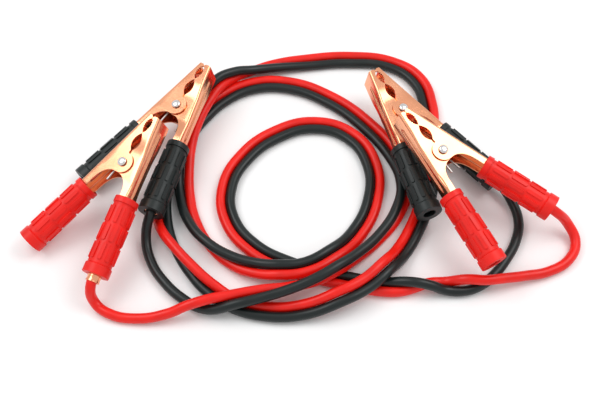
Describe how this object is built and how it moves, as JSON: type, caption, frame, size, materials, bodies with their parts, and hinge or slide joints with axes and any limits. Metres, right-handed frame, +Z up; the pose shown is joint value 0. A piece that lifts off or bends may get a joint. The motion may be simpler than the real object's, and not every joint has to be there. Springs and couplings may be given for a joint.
{
  "type": "car jumper cable",
  "caption": "Bonded red and black twin lead laid in loops, split into single ends, each in a spring clamp of copper-plated sheet with ribbed plastic grips.",
  "frame": {"origin": "on the floor, under the middle of the box round the four clamps", "axes": "+Z up from the floor, +X to the right and +Y away as the picture shows the looped lead"},
  "size_m": [0.469, 0.282, 0.0695],
  "materials": {
    "copper_plate": "bright copper plating on bent sheet steel",
    "rivet_steel": "bright nickel plate",
    "spring_steel": "drawn spring wire",
    "red_grip": "soft satin plastic with moulded bars",
    "black_grip": "soft satin plastic with moulded bars",
    "red_cover": "soft glossy cover of the conductor",
    "black_cover": "soft glossy cover of the conductor"
  },
  "bodies": {
    "leads_and_fixed_halves": {"red_lead": "red_cover", "black_lead": "black_cover", "left_black_cable_jaw": "copper_plate", "left_black_cable_grip": "black_grip", "left_black_rivet": "rivet_steel", "left_black_spring": "spring_steel", "left_red_cable_jaw": "copper_plate", "left_red_cable_grip": "red_grip", "left_red_rivet": "rivet_steel", "left_red_spring": "spring_steel", "right_black_cable_jaw": "copper_plate", "right_black_cable_grip": "black_grip", "right_black_rivet": "rivet_steel", "right_black_spring": "spring_steel", "right_red_cable_jaw": "copper_plate", "right_red_cable_grip": "red_grip", "right_red_rivet": "rivet_steel", "right_red_spring": "spring_steel"},
    "left_black_free_half": {"left_black_free_jaw": "copper_plate", "left_black_free_grip": "black_grip"},
    "left_red_free_half": {"left_red_free_jaw": "copper_plate", "left_red_free_grip": "red_grip"},
    "right_black_free_half": {"right_black_free_jaw": "copper_plate", "right_black_free_grip": "black_grip"},
    "right_red_free_half": {"right_red_free_jaw": "copper_plate", "right_red_free_grip": "red_grip"}
  },
  "joints": [
    {"name": "left_black_jaw_hinge", "type": "hinge", "parent": "leads_and_fixed_halves", "child": "left_black_free_half", "pos_m": [-0.0977, 0.063, 0.0295], "axis": [-0.1833, -0.0498, 0.9818], "range_deg": [0, 20], "stiffness_Nm_per_rad": 1.5, "springref_deg": -17.19},
    {"name": "left_red_jaw_hinge", "type": "hinge", "parent": "leads_and_fixed_halves", "child": "left_red_free_half", "pos_m": [-0.135, -0.007, 0.0448], "axis": [-0.2864, -0.1531, 0.9458], "range_deg": [0, 20], "stiffness_Nm_per_rad": 1.5, "springref_deg": -17.19},
    {"name": "right_black_jaw_hinge", "type": "hinge", "parent": "leads_and_fixed_halves", "child": "right_black_free_half", "pos_m": [0.0983, 0.062, 0.0252], "axis": [0.1592, -0.0093, 0.9872], "range_deg": [0, 9], "stiffness_Nm_per_rad": 1.5, "springref_deg": -17.19},
    {"name": "right_red_jaw_hinge", "type": "hinge", "parent": "leads_and_fixed_halves", "child": "right_red_free_half", "pos_m": [0.1263, 0.0026, 0.0482], "axis": [0.139, -0.1429, 0.9799], "range_deg": [0, 20], "stiffness_Nm_per_rad": 1.5, "springref_deg": -17.19}
  ]
}
